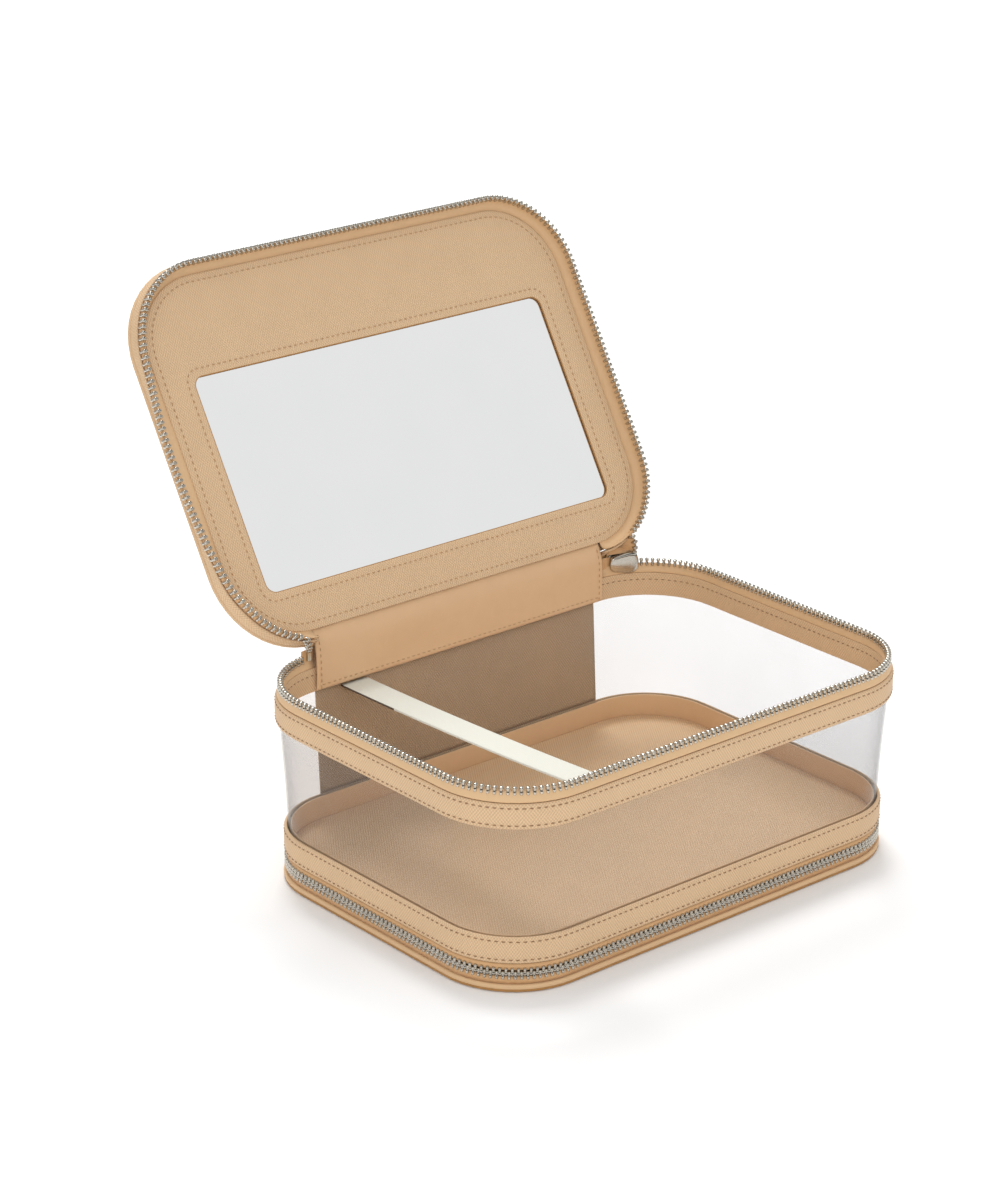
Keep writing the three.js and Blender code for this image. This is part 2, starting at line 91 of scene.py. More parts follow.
# ---- the case's outline in plan ----
class Track:
    """A rounded rectangle, walked anticlockwise from the middle of its back edge."""

    ARC, LONG, SHORT = 12, 44, 26  # stations on each corner, long side and short side

    def __init__(self, width, depth, radius, centre_y=0.0):
        self.half = (width / 2, depth / 2)
        self.radius = radius
        self.centre_y = centre_y
        a, b, quarter = width / 2 - radius, depth - 2 * radius, math.pi * radius / 2
        self.pieces = [a, quarter, b, quarter, 2 * a, quarter, b, quarter, a]
        self.edges = np.concatenate([[0], np.cumsum(self.pieces)])
        self.length = float(self.edges[-1])

    def at(self, s):
        """Points and outward directions, each (n, 2), at distances s."""
        s = np.mod(np.asarray(s, float), self.length)
        part = np.clip(np.searchsorted(self.edges, s, side="right") - 1, 0, 8)
        along = s - self.edges[part]
        (w, d), r = self.half, self.radius
        corners = np.array([[-1, 1], [-1, -1], [1, -1], [1, 1]], float) * [w - r, d - r]
        turns, straight = part // 2, (part % 2 == 0)[:, None]
        angle = math.pi / 2 * (1 + turns) + along / r * (part % 2)
        normal = np.stack([np.cos(angle), np.sin(angle)], 1)
        normal = np.where(straight, np.round(normal), normal)
        centre = np.where(straight, corners[turns - 1], corners[turns % 4])
        along = np.where(part == 0, self.pieces[0], 0) + along
        travel = np.stack([-normal[:, 1], normal[:, 0]], 1) * along[:, None]
        return centre + r * normal + np.where(straight, travel, 0) + [0, self.centre_y], normal

    def stations(self):
        counts = [self.LONG // 2, self.ARC, self.SHORT, self.ARC, self.LONG, self.ARC, self.SHORT,
                  self.ARC, self.LONG // 2]
        runs = [a + (b - a) * np.arange(n) / n for a, b, n in zip(self.edges, self.edges[1:], counts)]
        return np.concatenate(runs)

    def from_back(self, x):
        """Distance along the track to the place on the back where |x| is this."""
        straight = self.half[0] - self.radius
        if x <= straight:
            return x
        return straight + self.radius * math.asin((x - straight) / self.radius)

    def widened(self, by):
        return Track(2 * (self.half[0] + by), 2 * (self.half[1] + by), self.radius + by, self.centre_y)

    def run(self, start, end):
        inside = self.stations()
        gap = 0.5 * MM
        return np.concatenate([[start], inside[(inside > start + gap) & (inside < end - gap)], [end]])


low, high = box("lower_band")
BODY = Track(high[0] - low[0], high[1] - low[1], CORNER)


# ---- meshes ----
def make_piece(name, points, faces, material, uv=None):
    mesh = bpy.data.meshes.new(name)
    mesh.from_pydata(np.asarray(points, float).tolist(), [], faces)
    if uv is not None:
        layer = mesh.uv_layers.new(name="surface")
        layer.data.foreach_set("uv", np.asarray(uv, np.float32).ravel())
    work = bmesh.new()
    work.from_mesh(mesh)
    bmesh.ops.recalc_face_normals(work, faces=work.faces)
    work.to_mesh(mesh)
    work.free()
    mesh.polygons.foreach_set("use_smooth", [True] * len(mesh.polygons))
    mesh.update()
    obj = bpy.data.objects.new(name, mesh)
    bpy.context.scene.collection.objects.link(obj)
    obj.data.materials.append(material)
    return obj


def tube_faces(n, m, wrap=False):
    """Faces of an n by m grid of points that closes across. It wraps along, or has flat ends."""
    faces = [(i * m + j, i * m + (j + 1) % m, (i + 1) % n * m + (j + 1) % m, (i + 1) % n * m + j)
             for i in range(n if wrap else n - 1) for j in range(m)]
    if not wrap:
        faces += [list(range(m - 1, -1, -1)), list(range((n - 1) * m, n * m))]
    return faces


def grid_piece(name, points, material, u=None, v=None, wrap=False):
    """A solid through an (n, m, 3) grid, which closes as in tube_faces. u and v are distances along
    and across it, one longer than the grid where it closes. Without them it is laid flat."""
    n, m = points.shape[:2]
    flat = points.reshape(-1, 3)
    faces = tube_faces(n, m, wrap)
    if u is None:
        uv = [flat[k, :2] for face in faces for k in face]
    else:
        uv = [(u[i + a], v[j + b]) for i in range(n if wrap else n - 1) for j in range(m)
              for a, b in ((0, 0), (0, 1), (1, 1), (1, 0))]
        if not wrap:
            uv += [(u[k // m], v[k % m]) for face in faces[-2:] for k in face]
    return make_piece(name, flat, faces, material, uv)


def grid_of(x, y, z):
    """A grid of points from their parts, which spread to one shape."""
    return np.stack(np.broadcast_arrays(x, y, z), 2)


def two_sided(outer, inner):
    """A grid that goes across one face and back across the other, each given as x, y and z."""
    return np.concatenate([grid_of(*outer), grid_of(*inner)[:, ::-1]], 1)


def ring_piece(name, rings, material, wrap):
    """A solid through rings, each of points in plan at one height."""
    grid = np.array([np.column_stack([xy, np.full(len(xy), z)]) for xy, z in rings])
    return grid_piece(name, grid, material, wrap=wrap)


def smoothstep(value, start, end):
    share = np.clip((value - start) / (end - start), 0, 1)
    return share * share * (3 - 2 * share)


def unit(vectors):
    return vectors / np.linalg.norm(vectors, axis=1)[:, None]


def square_to(vectors, along):
    """Unit vectors at right angles to along, as near as they can be to these."""
    return unit(vectors - along * np.sum(vectors * along, 1)[:, None])


def distances(points):
    """Distance along a line of points at each of them."""
    return np.concatenate([[0], np.cumsum(np.linalg.norm(np.diff(points, axis=0), axis=1))])


def nearest(values, value):
    """Index of the value nearest to this one."""
    return int(np.argmin(np.abs(values - value)))


def pick(values, s, at):
    """The values of a line of points, between them too."""
    return np.stack([np.interp(at, s, column) for column in values.T], 1)


def lengths(profile):
    """Distance along a closed profile at each point, and back at the first one."""
    return distances(np.vstack([profile, profile[:1]]))


def clockwise(profile):
    x, y = np.asarray(profile).T
    area = np.sum(x * np.roll(y, -1) - np.roll(x, -1) * y)
    return np.asarray(profile)[::-1] if area > 0 else np.asarray(profile)


def sweep(name, track, profile, material, ends=None, bend=None):
    """Sweeps a closed profile of (offset outward, height) along a track, all round or between two
    distances. bend(s, offset, height) may move each point."""
    profile = clockwise(profile)
    s = track.stations() if ends is None else track.run(*ends)
    point, normal = track.at(s)
    offset, height = np.tile(profile.T[:, None], (1, len(s), 1))
    if bend is not None:
        offset, height = bend(s[:, None], offset, height)
    grid = np.dstack([point[:, None] + normal[:, None] * offset[:, :, None], height])
    u = np.append(s, track.length) if ends is None else s
    return grid_piece(name, grid, material, u, lengths(profile), ends is None)


def round_corners(corners, radius, steps=4):
    """A closed profile with each corner rounded."""
    corners = np.asarray(corners, float)
    rounded = []
    for k, corner in enumerate(corners):
        before, after = corners[k - 1] - corner, corners[(k + 1) % len(corners)] - corner
        reach = min(radius, 0.48 * np.linalg.norm(before), 0.48 * np.linalg.norm(after))
        a = corner + before / np.linalg.norm(before) * reach
        b = corner + after / np.linalg.norm(after) * reach
        for t in np.linspace(0, 1, steps):
            rounded.append((1 - t) ** 2 * a + 2 * t * (1 - t) * corner + t * t * b)
    return np.array(rounded)


def folded(outer, inner, low, high, radius):
    """The closed profile of an upright layer with rounded corners."""
    return round_corners([(outer, low), (outer, high), (inner, high), (inner, low)], radius)


def strip(low, high, outer, rows, puff):
    """The profile of an upright band: its outer face swells a little between the sewn rows and dips
    at them, and its long edges are folded round."""
    z = np.linspace(low, high, 22)
    share = (z - low) / (high - low)
    fold = LEATHER * 0.42
    face = outer - fold * (1 - np.clip(np.minimum(z - low, high - z) / fold, 0, 1)) ** 2
    face = face + puff * np.sin(math.pi * share) ** 0.5
    for row in rows:
        face = face - 0.2 * MM * np.exp(-(((z - row) / (0.55 * MM)) ** 2))
    inner = np.full(len(z), outer - LEATHER)
    return np.vstack([np.stack([face, z], 1), np.stack([inner, z], 1)[::-5]])


def circle(offset, height, radius):
    angle = np.arange(12) * math.pi / 6
    return np.stack([offset + radius * np.cos(angle), height + radius * np.sin(angle)], 1)


def scatter(name, spots, sides, ups, shape, faces, material):
    """Copies of one small solid. Each stands at a spot, with its own X, Y and Z along sides (two
    directions) and ups."""
    points = spots[:, None] + shape @ np.stack([*sides, ups], 1)
    count = len(shape)
    every = [[i * count + k for k in face] for i in range(len(spots)) for face in faces]
    return make_piece(name, points.reshape(-1, 3), every, material)


def loft(rings):
    """Points and faces of a closed solid through equal rings, with flat ends."""
    rings = np.asarray(rings)
    return rings.reshape(-1, 3), tube_faces(*rings.shape[:2])


def stitch_shape():
    """One stitch, 0 at its middle: it comes up out of its hole, lies on the surface and goes in."""
    rings = []
    for t in np.linspace(-1, 1, 7):
        rise = STITCH_RADIUS * (0.9 - 1.5 * abs(t) ** 4)
        radius = STITCH_RADIUS * (1 - 0.35 * t * t)
        angle = np.arange(6) * math.pi / 3
        rings.append(np.stack([np.full(6, t * STITCH_LENGTH / 2), radius * np.cos(angle),
                               rise + radius * np.sin(angle)], 1))
    return loft(rings)


def sew(name, points, normals, material):
    """Stitches along a line of closely spaced points with the surface's normals."""
    s = distances(points)
    count = round(s[-1] / STITCH_PITCH)
    at = s[-1] * (np.arange(count) + 0.5) / count
    along = unit(pick(points, s, at + 0.4 * MM) - pick(points, s, at - 0.4 * MM))
    ups = square_to(pick(normals, s, at), along)
    shape, faces = stitch_shape()
    return scatter(name, pick(points, s, at), (along, np.cross(ups, along)), ups, shape, faces, material)


def on_body(s, offset, height, bend=None):
    """Points at distances s along the body's outline, and the directions out of it."""
    point, normal = BODY.at(s)
    offsets, heights = np.full((len(s), 1), offset), np.full((len(s), 1), height)
    if bend is not None:
        offsets, heights = bend(s[:, None], offsets, heights)
    return np.hstack([point + normal * offsets, heights]), np.hstack([normal, np.zeros((len(s), 1))])


def sew_round(name, offset, height, side=1):
    """Stitches all round the body, on its outer face or, with side -1, on an inner one."""
    s = np.append(BODY.stations(), BODY.length)
    s = np.interp(np.linspace(0, len(s) - 1, 6 * len(s)), np.arange(len(s)), s)
    points, out = on_body(s, offset, height)
    place(sew(name, points, side * out, THREAD), "case", "edge_paint")


def tooth_shape(reach):
    """A zipper tooth. X is along the track, Y through the tape and Z from its legs to its head."""
    levels = [  # share of the reach, length along the track, width through the tape
        (0.0, 1.1, 2.3), (0.06, 1.4, 2.7), (0.38, 1.4, 2.7), (0.50, 1.2, 2.0), (0.62, 1.3, 2.1),
        (0.74, 1.7, 2.5), (0.86, 1.75, 2.5), (0.95, 1.35, 1.9), (1.0, 0.7, 1.1),
    ]
    rings = []
    for share, long, wide in levels:
        angle = (np.arange(8) + 0.5) * math.pi / 4
        x, y = np.clip([np.cos(angle) * 1.25, np.sin(angle) * 1.25], -1, 1) / 2 * MM
        rings.append(np.stack([x * long, y * wide, np.full(8, share * reach)], 1))
    return loft(rings)


def teeth_row(name, offset, legs, heads, ends, phase=0.0, bend=None):
    """One row of teeth, whose legs clasp the tape at one height and whose heads reach another."""
    inside = ends[1] - ends[0]
    count = int(inside // TOOTH_PITCH)
    s = ends[0] + (inside - (count - 1) * TOOTH_PITCH) / 2 + TOOTH_PITCH * (np.arange(count) + phase)
    spots, out = on_body(s, offset - TOOTH_MIDDLE, legs, bend)
    ups = np.tile([0, 0, math.copysign(1, heads - legs)], (len(s), 1))
    shape, faces = tooth_shape(abs(heads - legs))
    return scatter(name, spots, (np.cross(out, ups), out), ups, shape, faces, METAL)


def plate(name, track, low, high, material, puff=0.0):
    """A flat panel of a track's outline with folded edges, which swells by puff in its middle."""
    point, normal = track.at(track.stations())
    middle = np.array([0, track.centre_y])
    edge = 0.4 * MM
    shares = [0.02, 0.2, 0.4, 0.6, 0.75, 0.86, 0.93, 0.97]
    rows = [(f, 0, high + puff * (1 - f ** 4)) for f in shares]  # share from the middle, offset, height
    for angle in np.linspace(0, math.pi / 2, 5):
        rows.append((1, edge * (math.sin(angle) - 1), high - edge * (1 - math.cos(angle))))
    for angle in np.linspace(0, math.pi / 2, 4):
        rows.append((1, edge * (math.cos(angle) - 1), low + edge * (1 - math.sin(angle))))
    rows += [(f, 0, low) for f in shares[::-1]]
    rings = [(middle + (point + normal * offset - middle) * f, height) for f, offset, height in rows]
    return ring_piece(name, rings, material, False)


def place(obj, body, slot, *nodes):
    """Puts a piece on its CAD body. Pieces of the lid are drawn shut and then turned open."""
    if body == "lid":
        obj.data.transform(OPEN_LID)
    if nodes:
        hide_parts(*nodes)
    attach(obj, body)
    return obj


# ---- materials ----
def node(tree, kind, inputs=None, output=0, **settings):
    """Adds a shader node, sets or joins its inputs, and gives one of its outputs."""
    made = tree.nodes.new("ShaderNode" + kind)
    for key, value in settings.items():
        setattr(made, key, value)
    for key, value in (inputs or {}).items():
        if isinstance(value, bpy.types.NodeSocket):
            tree.links.new(value, made.inputs[key])
        else:
            made.inputs[key].default_value = value
    return made.outputs[output]


def maths(tree, operation, a, b=0.0):
    return node(tree, "Math", {0: a, 1: b}, operation=operation)


def weighed(tree, a, b, part):
    """a and b together, of which this part is b."""
    return maths(tree, "ADD", maths(tree, "MULTIPLY", a, 1 - part), maths(tree, "MULTIPLY", b, part))


def remap(tree, value, low, high):
    return node(tree, "MapRange", {"Value": value, "To Min": low, "To Max": high})


def tint(tree, fac, dark, light):
    return node(tree, "Mix", {"Factor": fac, "A": dark, "B": light}, output=2, data_type="RGBA")


def noise(tree, coords, scale, detail=2.0, rough=0.5):
    inputs = {"Vector": coords, "Scale": scale, "Detail": detail, "Roughness": rough}
    return node(tree, "TexNoise", inputs)


def surface(tree):
    """The surface's own coordinates, in metres along and across it."""
    return node(tree, "UVMap", uv_map="surface")


def solid_coords(tree):
    return node(tree, "TexCoord", output=3)


def colour(code, factor=1.0):
    """A linear colour from an sRGB hex code, made lighter or darker by factor."""
    parts = [int(code[k:k + 2], 16) / 255 for k in (1, 3, 5)]
    linear = [p / 12.92 if p <= 0.04045 else ((p + 0.055) / 1.055) ** 2.4 for p in parts]
    return (*[min(1.0, p * factor) for p in linear], 1.0)


def lines(tree, coords, angle, pitch):
    """Waves from 0 to 1 across parallel lines at this angle and pitch."""
    turned = node(tree, "Mapping", {"Vector": coords, "Rotation": (0, 0, math.radians(angle))})
    x = node(tree, "SeparateXYZ", {0: turned})
    wave = maths(tree, "SINE", maths(tree, "MULTIPLY", x, 2 * math.pi / pitch))
    return node(tree, "MapRange", {"Value": wave, "From Min": -1.0, "From Max": 1.0})


def start_material(name, **fixed):
    material = bpy.data.materials.new(name)
    material.use_nodes = True
    shader = material.node_tree.nodes["Principled BSDF"]
    for key, value in fixed.items():
        shader.inputs[key.replace("_", " ")].default_value = value
    return material, material.node_tree, shader


def join(tree, shader, base, rough=None, height=None, depth=0.05 * MM, strength=1.0):
    tree.links.new(base, shader.inputs["Base Color"])
    if rough is not None:
        tree.links.new(rough, shader.inputs["Roughness"])
    if height is not None:
        bump = node(tree, "Bump", {"Height": height, "Distance": depth, "Strength": strength})
        tree.links.new(bump, shader.inputs["Normal"])


def cross_hatched(name, code, pitch=1.05 * MM, contrast=0.27, depth=0.12 * MM):
    """Leatherette with a pressed grain of two sets of fine diagonal ridges."""
    material, tree, shader = start_material(name, IOR=1.45, Specular_IOR_Level=0.34)
    place_on = surface(tree)
    drift = noise(tree, place_on, 70, 2)
    push = node(tree, "VectorMath", {0: noise(tree, place_on, 420, 1), 1: (0.16 * MM,) * 3},
                operation="MULTIPLY")
    warped = node(tree, "VectorMath", {0: place_on, 1: push}, operation="ADD")
    # the two directions mix in soft small patches
    patches = node(tree, "MapRange", {"Value": noise(tree, place_on, 330, 1), "From Min": 0.2,
                                                "From Max": 0.8})
    grain = node(tree, "Mix", {"Factor": patches, "A": lines(tree, warped, 35, pitch),
                                         "B": lines(tree, warped, -35, pitch)})
    fine = noise(tree, place_on, 2400, 3, 0.6)
    height = maths(tree, "ADD", grain, maths(tree, "MULTIPLY", fine, 0.3))
    share = weighed(tree, grain, drift, 0.2)
    base = tint(tree, share, colour(code, 1 - contrast), colour(code, 1 + 0.5 * contrast))
    join(tree, shader, base, remap(tree, share, 0.66, 0.5), height, depth, 0.9)
    return material


def speckled(name, dark, light, grain, gloss, depth=None, **fixed):
    """Fine specks between two colours. grain is their scale, detail and roughness, gloss how rough
    the surface is in the dark and the light ones, and depth how far it goes up and down."""
    material, tree, shader = start_material(name, **fixed)
    specks = noise(tree, solid_coords(tree), *grain)
    join(tree, shader, tint(tree, specks, dark, light), remap(tree, specks, *gloss),
         specks if depth else None, depth)
    return material


# A speckled dark edge colour: edge paint on the leather's cut edges, and a painted shade on the strap
def edge_colour(name, code):
    return speckled(name, colour(code, 0.8), colour(code, 1.2), (420, 4, 0.6), (0.4, 0.62), 0.05 * MM,
                    Coat_Weight=0.15, Coat_Roughness=0.35)


def woven(name, code, pitch, angle, sheen, depth=0.06 * MM, contrast=0.2):
    """Woven cloth: fine ribs at one angle, crossed by thinner ones."""
    material, tree, shader = start_material(name, Sheen_Weight=sheen, Sheen_Roughness=0.4)
    place_on = surface(tree)
    warp = lines(tree, place_on, angle, pitch)
    weft = lines(tree, place_on, angle + 90, pitch * 0.8)
    weave = weighed(tree, warp, weft, 0.35)
    drift = noise(tree, place_on, 140, 3)
    share = weighed(tree, weave, drift, 0.4)
    base = tint(tree, share, colour(code, 1 - contrast), colour(code, 1 + 0.6 * contrast))
    join(tree, shader, base, remap(tree, share, 0.72, 0.52), weave, depth)
    return material


def nickel(name):
    material, tree, shader = start_material(name, Metallic=1.0)
    where = solid_coords(tree)
    marks = noise(tree, where, 900, 3, 0.6)
    wear = noise(tree, where, 160, 2)
    base = tint(tree, wear, colour("#b5afa4"), colour("#d8d2c6"))
    join(tree, shader, base, remap(tree, marks, 0.098, 0.21), marks, 0.01 * MM, 0.4)
    return material


def thread(name, code):
    material, tree, shader = start_material(name, Roughness=0.6, Sheen_Weight=0.2)
    twist = lines(tree, solid_coords(tree), 50, 0.35 * MM)
    base = tint(tree, twist, colour(code, 0.75), colour(code, 1.2))
    join(tree, shader, base, None, twist)
    return material


def clear_film(name):
    """Clear flexible vinyl: see-through, a little grey, with a gloss that grows at grazing angles."""
    material, tree, shader = start_material(name, Base_Color=colour("#a9acad"), Roughness=0.16, IOR=1.5)
    ripple = noise(tree, solid_coords(tree), 26, 2)
    bump = node(tree, "Bump", {"Height": ripple, "Distance": 0.6 * MM, "Strength": 0.2})
    tree.links.new(bump, shader.inputs["Normal"])
    clear = node(tree, "BsdfTransparent", {"Color": (0.915, 0.913, 0.915, 1)})
    facing = node(tree, "LayerWeight", {"Blend": 0.5, "Normal": bump}, output=1)
    gloss = maths(tree, "MULTIPLY", maths(tree, "POWER", facing, 4.5), 0.5)
    share = maths(tree, "ADD", gloss, remap(tree, ripple, 0.02, 0.08))
    mixed = node(tree, "MixShader", {0: share, 1: clear, 2: shader.outputs[0]})
    tree.links.new(mixed, tree.nodes["Material Output"].inputs["Surface"])
    return material


LEATHERETTE = cross_hatched("leatherette", "#dab993")
STRAP = cross_hatched("strap_leatherette", "#dcdcd1", 0.7 * MM, 0.06, 0.05 * MM)
EDGE = edge_colour("edge_colour", "#a9793f")
# painted shade: this dark edge colour stands for the strap's shadowed underside at its back end
STRAP_SHADE_EDGE = edge_colour("strap_shade_edge", "#4b3a2c")
TAPE_CLOTH = woven("zipper_tape", "#d6a978", 0.7 * MM, 45, 0.12)
RIM_CLOTH = woven("rim_tape", "#dbb68a", 0.6 * MM, 45, 0.1, 0.03 * MM, 0.1)
LINING = woven("lining_twill", "#dcb68c", 0.42 * MM, 35, 0.12, 0.03 * MM, 0.1)
METAL = nickel("polished_nickel")
THREAD = thread("brown_thread", "#936b45")
THREAD_LIGHT = thread("tan_thread", "#bd966b")
VINYL = clear_film("clear_vinyl")
GLASS = speckled("mirror_glass", colour("#f6f7f7"), colour("#fbfbfb"), (30, 3), (0.008, 0.03),
                 Metallic=1.0)
BOARD = speckled("stiffener_board", colour("#b9a68c", 0.8), colour("#b9a68c", 1.15), (700, 4, 0.7),
                 (0.8, 0.95), 0.04 * MM)


# ---- places read from the CAD nodes ----
def levels(node, closed=False):
    """A strip's outer offset from the body's outline, and its lowest and highest level."""
    low, high = closed_box(node) if closed else box(node)
    return high[0] - BODY.half[0], low[2], high[2]


def open_run(left, right):
    """Both ends of a run round the front, from x = -left at the back to x = +right."""
    return BODY.from_back(left), BODY.length - BODY.from_back(right)


# ---- base and lower zipper ----
def flat_panel(name, node, material, body, slot, further=0):
    offset, low, high = levels(node)
    place(plate(name, BODY.widened(offset + further), low, high, material), body, slot, node)


def make_base():
    flat_panel("bottom_panel", "base_panel", LEATHERETTE, "base", "leatherette")
    offset, low, high = levels("base_edge_binding")
    profile = round_corners([(offset, low - 0.4 * MM), (offset + 0.1 * MM, high - 0.4 * MM),
                             (offset - 0.5 * MM, high + 0.2 * MM), (offset - 2.2 * MM, high + 0.1 * MM),
                             (offset - 2.2 * MM, low - 0.2 * MM)], 0.6 * MM)
    place(sweep("bottom_edge_binding", BODY, profile, RIM_CLOTH), "base", "edge_paint", "base_edge_binding")
    offset, low, high = levels("base_panel")
    profile = folded(offset + 0.15 * MM, offset - 0.6 * MM, low + 0.1 * MM, high + 0.05 * MM, 0.3 * MM)
    place(sweep("bottom_painted_edge", BODY, profile, EDGE), "base", "edge_paint")
    flat_panel("bottom_lining", "base_lining", LINING, "base", "lining")


def flat_tape(name, node, legs, ends, closed=False, bend=None):
    """A zipper tape, from its sewn edge to just inside the teeth's legs."""
    offset, low, high = levels(node, closed)
    low, high = min(low, legs), max(high, legs)
    profile = [(offset, low), (offset, high), (offset - TAPE, high), (offset - TAPE, low)]
    return sweep(name, BODY, profile, TAPE_CLOTH, ends, bend)


def make_lower_zipper():
    offset, low, high = levels("base_zip_teeth")
    low_case, high_case = levels("lower_zip_teeth")[1:]
    plane = (high + low_case) / 2
    end = box("lower_stop_case")[0][0]
    ends = open_run(end, end)
    reach = 0.95 * MM

    def spread(side):
        """Past the slider the two rows stand apart."""
        start = BODY.edges[6] + (box("lower_slider")[0][1] + BODY.half[1] - CORNER)
        return lambda s, o, z: (o, z + side * 0.8 * MM * smoothstep(s, start, start + 18 * MM))

    base_teeth = teeth_row("base_zipper_teeth", offset, low, plane + reach, ends, bend=spread(-1))
    case_teeth = teeth_row("lower_zipper_teeth", offset, high_case, plane - reach, ends, 0.5, spread(1))
    place(base_teeth, "base", "zipper_metal", "base_zip_teeth")
    place(case_teeth, "case", "zipper_metal", "lower_zip_teeth")
    place(flat_tape("base_zipper_tape", "base_zip_tape", low + 1.1 * MM, ends), "base",
          "zipper_tape", "base_zip_tape")
    place(flat_tape("lower_zipper_tape", "lower_zip_tape", high_case - 1.1 * MM, ends), "case",
          "zipper_tape", "lower_zip_tape")


def make_floor():
    band = 0.5 * MM  # it reaches the band's lining
    flat_panel("compartment_roof_lining", "compartment_lining", LINING, "case", "lining", band)
    flat_panel("case_floor", "floor_panel", LEATHERETTE, "case", "leatherette", band)


# ---- bands and walls ----
def make_bands():
    """The two folded leatherette bands, each with a sewn row near both edges."""
    puff = 0.3 * MM
    for name, node in (("lower_leather_band", "lower_band"), ("upper_leather_band", "upper_band")):
        offset, low, high = levels(node)
        rows = [low + 1.8 * MM, high - 1.8 * MM]
        profile = strip(low, high, offset, rows, puff)
        place(sweep(name, BODY, profile, LEATHERETTE), "case", "leatherette", node)
        for k, height in enumerate(rows):
            sew_round(f"{name}_stitches_{k + 1}", offset + puff * 0.55 - 0.12 * MM, height)


def wall_offset(z):
    """Outer face of the clear wall: upright behind the lower band, then leaning out."""
    top = box("clear_wall")[1][0] - BODY.half[0]
    bottom = levels("lower_band")[0] - LEATHER - 0.35 * MM
    band_top, band_low = box("lower_band")[1][2], box("upper_band")[0][2]
    share = np.clip((z - band_top) / (band_low - band_top), 0, 1)
    return bottom + (top - bottom) * share


def make_walls():
    low, high = box("clear_wall")[0][2], box("clear_wall")[1][2]
    z = np.linspace(low, high, 30)
    outer = np.stack([wall_offset(z), z], 1)
    profile = np.vstack([outer, (outer - [0.6 * MM, 0])[::-1]])

    def slack(s, offset, height):
        share = np.clip((height - low) / (high - low), 0, 1)
        wave = np.sin(s * 55 + 1.0 + 2.2 * share) + 0.6 * np.sin(s * 127 + 4.0 * share)
        return offset - (0.35 + 0.3 * wave) * MM * np.sin(math.pi * share) ** 2, height

    place(sweep("clear_wall_film", BODY, profile, VINYL, bend=slack), "case", "clear_vinyl", "clear_wall")
    offset, low, high = levels("lower_band_lining")
    low -= 1.1 * MM  # it goes down past the floor's edge
    profile = folded(offset, offset - CLOTH, low, high, 0.3 * MM)
    place(sweep("lower_band_inner_lining", BODY, profile, LINING), "case", "lining", "lower_band_lining")
    offset, low, high = levels("upper_band_lining")
    profile = folded(offset, offset - CLOTH, low, high, 0.3 * MM)
    place(sweep("upper_band_inner_lining", BODY, profile, LEATHERETTE), "case", "leatherette",
          "upper_band_lining")
    sew_round("upper_band_inner_stitches", offset - CLOTH, high - 3.2 * MM, -1)


def make_back_panel():
    low, high = box("back_panel")
    half, bottom, top = high[0], low[2], high[2]
    z = np.linspace(bottom, top, 26)
    x = np.linspace(-half, half, 60)[:, None]
    edge = np.minimum(half - np.abs(x), np.minimum(z - bottom, top - z))
    fold = np.clip(edge / (0.7 * MM), 0, 1)
    bow = 0.35 * MM * np.sin(math.pi * (z - bottom) / (top - bottom)) * np.cos(math.pi * x / (2.2 * half))
    inner = BODY.half[1] + wall_offset(z) + 0.3 * MM
    outer = inner + 0.05 * MM + 0.6 * LEATHER + bow + 0.4 * LEATHER * np.sqrt(1 - (1 - fold) ** 2)
    grid = two_sided((x, outer, z), (x, inner, z))
    v = np.concatenate([z, z[::-1], z[:1]])
    panel = grid_piece("back_stiffener_panel", grid, LEATHERETTE, x.ravel(), v)
    place(panel, "case", "leatherette", "back_panel")
    inset = 2.2 * MM
    x0, x1, z0, z1 = inset - half, half - inset, bottom + inset, top - inset
    corners = np.array([(x0, z0), (x1, z0), (x1, z1), (x0, z1), (x0, z0)])
    for k, (start, end) in enumerate(zip(corners, corners[1:])):
        across, up = start[:, None] + (end - start)[:, None] * np.linspace(0, 1, 200)
        y = np.array([np.interp(b, z, outer[nearest(x, a)]) for a, b in zip(across, up)])
        seam = sew(f"back_panel_stitches_{k + 1}", np.stack([across, y, up], 1),
                   np.tile([0.0, 1.0, 0.0], (len(y), 1)), THREAD)
        place(seam, "case", "edge_paint")


# ---- rim ----
LID_LEFT, LID_RIGHT = 92.8 * MM, 99.0 * MM  # where the lid's row leaves the lid on each side
BOW_Y = np.array([-85, -60, -44, -30, -14, 4, 20, 37, 52, 66, 85]) * MM
BOW = np.array([-0.6, -0.3, 1.4, 3.4, 5.0, 5.2, 4.4, 2.6, 0.0, -2.0, -1.4]) * MM  # outward, at BOW_Y
BOW_FADE = 95.6 * MM, 99.9 * MM  # heights, with the lid shut, between which the bow fades out
BOW_SIDE = 84 * MM, 116 * MM  # how far left it starts and is full


def lid_bow(s, offset, height):
    """The soft side of the open lid: near the row it bows out on the left and tucks in at the left
    back corner."""
    point, _ = BODY.at(np.ravel(s))
    x, y = (point[:, k].reshape(np.shape(s)) for k in (0, 1))
    left = smoothstep(-x, *BOW_SIDE)
    out = np.interp(y, BOW_Y, BOW)
    free = 1 - smoothstep(height, *BOW_FADE)
    return offset + left * out * free, height + 0.25 * np.maximum(left * out, 0) * free


